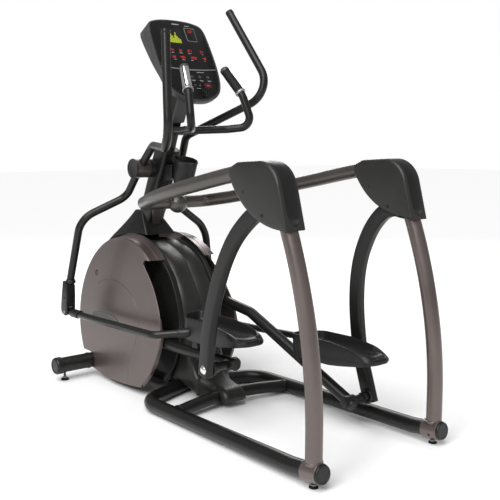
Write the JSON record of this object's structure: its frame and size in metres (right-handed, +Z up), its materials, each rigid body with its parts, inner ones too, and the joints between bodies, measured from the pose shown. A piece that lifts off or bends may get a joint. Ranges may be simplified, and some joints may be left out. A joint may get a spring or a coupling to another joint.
{
  "type": "elliptical trainer",
  "caption": "Elliptical cross trainer with round drive covers, swinging rear arms, coupled moving handles and pedals, a raised console mast and a tubular U-frame.",
  "frame": {"origin": "on the floor under the centre of the bounding box", "axes": "+X to the user's right, +Y forward from the user towards the console, +Z up"},
  "size_m": [0.9106, 1.9529, 1.8324],
  "materials": {
    "bronze_paint": "satin metallic bronze-grey paint",
    "black_paint": "satin black powder coat",
    "black_plastic": "fine-textured black moulding",
    "grey_plastic": "fine-textured dark grey moulding",
    "foot_rubber": "matt rubber",
    "grip_rubber": "soft ribbed grip",
    "belt_rubber": "matt ribbed belt",
    "console_panel": "smooth dark overlay with a low gloss",
    "key_plastic": "satin keycaps",
    "red_plastic": "satin red stop key",
    "pedal_plastic": "ribbed black tread moulding",
    "machine_steel": "turned steel",
    "cast_iron": "machined cast iron"
  },
  "bodies": {
    "frame": {"base_rail_left": "black_paint", "base_rail_right": "black_paint", "base_cross_brace": "black_paint", "center_spine": "black_paint", "front_stabilizer": "black_paint", "front_end_cap_left": "black_plastic", "front_end_cap_right": "black_plastic", "levelling_foot_front_left": "foot_rubber", "levelling_foot_front_right": "foot_rubber", "levelling_foot_rear_left": "foot_rubber", "levelling_foot_rear_right": "foot_rubber", "rear_clamp_left": "bronze_paint", "rear_clamp_right": "bronze_paint", "rear_end_cap_left": "black_plastic", "rear_end_cap_right": "black_plastic", "rear_post_left": "bronze_paint", "rear_post_right": "bronze_paint", "upper_frame_tube": "bronze_paint", "frame_hub_ball": "bronze_paint", "shoulder_cover_outer_left": "black_plastic", "shoulder_cover_outer_right": "black_plastic", "shoulder_cover_inner_left": "black_plastic", "shoulder_cover_inner_right": "black_plastic", "mast": "black_paint", "mast_neck_cover": "grey_plastic", "console_housing": "grey_plastic", "console_face": "console_panel", "fixed_handlebar": "black_paint", "handlebar_grip_left": "grip_rubber", "handlebar_grip_right": "grip_rubber", "bottle_holder": "black_plastic", "shroud_left": "black_plastic", "shroud_right": "black_plastic", "shroud_top_cap": "black_plastic", "disc_cover_left": "bronze_paint", "disc_cover_right": "bronze_paint", "drive_bracket": "black_paint", "drive_belt": "belt_rubber"},
    "pendulum_left": {"pendulum_arm_left": "black_paint"},
    "link_left": {"drive_link_left": "black_paint"},
    "handle_left": {"moving_handle_left": "black_paint", "hub_cap_left": "black_plastic"},
    "foot_left": {"link_rod_left": "black_paint", "pedal_left": "pedal_plastic"},
    "pendulum_right": {"pendulum_arm_right": "black_paint"},
    "link_right": {"drive_link_right": "black_paint"},
    "handle_right": {"moving_handle_right": "black_paint", "hub_cap_right": "black_plastic"},
    "foot_right": {"link_rod_right": "black_paint", "pedal_right": "pedal_plastic"},
    "crank": {"crank_axle": "machine_steel", "crank_arm_left": "black_paint", "crank_arm_right": "black_paint"},
    "flywheel_body": {"flywheel": "cast_iron"},
    "key_program_body": {"key_program": "key_plastic"},
    "key_level_down_body": {"key_level_down": "key_plastic"},
    "key_level_up_body": {"key_level_up": "key_plastic"},
    "key_minus_body": {"key_minus": "key_plastic"},
    "key_plus_body": {"key_plus": "key_plastic"},
    "key_stop_body": {"key_stop": "red_plastic"}
  },
  "joints": [
    {"name": "pendulum_left_swing", "type": "hinge", "parent": "frame", "child": "pendulum_left", "pos_m": [-0.31, -0.7861, 0.9225], "axis": [1, 0, 0], "range_deg": [-27.5, 2]},
    {"name": "link_left_turn", "type": "hinge", "parent": "pendulum_left", "child": "link_left", "pos_m": [-0.181, -0.28026, 0.2769], "axis": [1, 0, 0], "range_deg": [-4, 53.7]},
    {"name": "handle_left_swing", "type": "hinge", "parent": "frame", "child": "handle_left", "pos_m": [-0.118, 0.5134, 1.066], "axis": [1, 0, 0], "range_deg": [-30.5, 2.3]},
    {"name": "foot_left_turn", "type": "hinge", "parent": "handle_left", "child": "foot_left", "pos_m": [-0.34, 0.86144, 0.33502], "axis": [1, 0, 0], "range_deg": [-2.2, 29.2]},
    {"name": "pendulum_right_swing", "type": "hinge", "parent": "frame", "child": "pendulum_right", "pos_m": [0.31, -0.7861, 0.9225], "axis": [1, 0, 0], "range_deg": [-2, 27.5]},
    {"name": "link_right_turn", "type": "hinge", "parent": "pendulum_right", "child": "link_right", "pos_m": [0.181, -0.60831, 0.12184], "axis": [1, 0, 0], "range_deg": [-53.7, 4]},
    {"name": "handle_right_swing", "type": "hinge", "parent": "frame", "child": "handle_right", "pos_m": [0.118, 0.5134, 1.066], "axis": [1, 0, 0], "range_deg": [-2.3, 30.5]},
    {"name": "foot_right_turn", "type": "hinge", "parent": "handle_right", "child": "foot_right", "pos_m": [0.34, 0.47414, 0.25735], "axis": [1, 0, 0], "range_deg": [-29.2, 2.2]},
    {"name": "flywheel_spin", "type": "hinge", "parent": "frame", "child": "flywheel_body", "pos_m": [0, 0.4034, 0.5], "axis": [1, 0, 0], "continuous": true},
    {"name": "crank_spin", "type": "hinge", "parent": "frame", "child": "crank", "pos_m": [0, 0.4914, 0.307], "axis": [1, 0, 0], "continuous": true},
    {"name": "key_program_press", "type": "slide", "parent": "frame", "child": "key_program_body", "axis": [0, 0.8793, -0.4762], "range_m": [0, 0.0015], "stiffness_N_per_m": 300, "springref_m": -0.001},
    {"name": "key_level_down_press", "type": "slide", "parent": "frame", "child": "key_level_down_body", "axis": [0, 0.8793, -0.4762], "range_m": [0, 0.0015], "stiffness_N_per_m": 300, "springref_m": -0.001},
    {"name": "key_level_up_press", "type": "slide", "parent": "frame", "child": "key_level_up_body", "axis": [0, 0.8793, -0.4762], "range_m": [0, 0.0015], "stiffness_N_per_m": 300, "springref_m": -0.001},
    {"name": "key_minus_press", "type": "slide", "parent": "frame", "child": "key_minus_body", "axis": [0, 0.8793, -0.4762], "range_m": [0, 0.0015], "stiffness_N_per_m": 300, "springref_m": -0.001},
    {"name": "key_plus_press", "type": "slide", "parent": "frame", "child": "key_plus_body", "axis": [0, 0.8793, -0.4762], "range_m": [0, 0.0015], "stiffness_N_per_m": 300, "springref_m": -0.001},
    {"name": "key_stop_press", "type": "slide", "parent": "frame", "child": "key_stop_body", "axis": [0, 0.8793, -0.4762], "range_m": [0, 0.0015], "stiffness_N_per_m": 300, "springref_m": -0.001}
  ],
  "couplings": [
    {"joint": "link_left_turn", "follows": "pendulum_left_swing", "ratio": -1.95},
    {"joint": "handle_left_swing", "follows": "pendulum_left_swing", "ratio": 1.105},
    {"joint": "foot_left_turn", "follows": "pendulum_left_swing", "ratio": -1.059},
    {"joint": "pendulum_right_swing", "follows": "pendulum_left_swing", "ratio": -1},
    {"joint": "link_right_turn", "follows": "pendulum_left_swing", "ratio": 1.95},
    {"joint": "handle_right_swing", "follows": "pendulum_left_swing", "ratio": -1.105},
    {"joint": "foot_right_turn", "follows": "pendulum_left_swing", "ratio": 1.059},
    {"joint": "crank_spin", "follows": "flywheel_spin", "ratio": 0.1875}
  ]
}
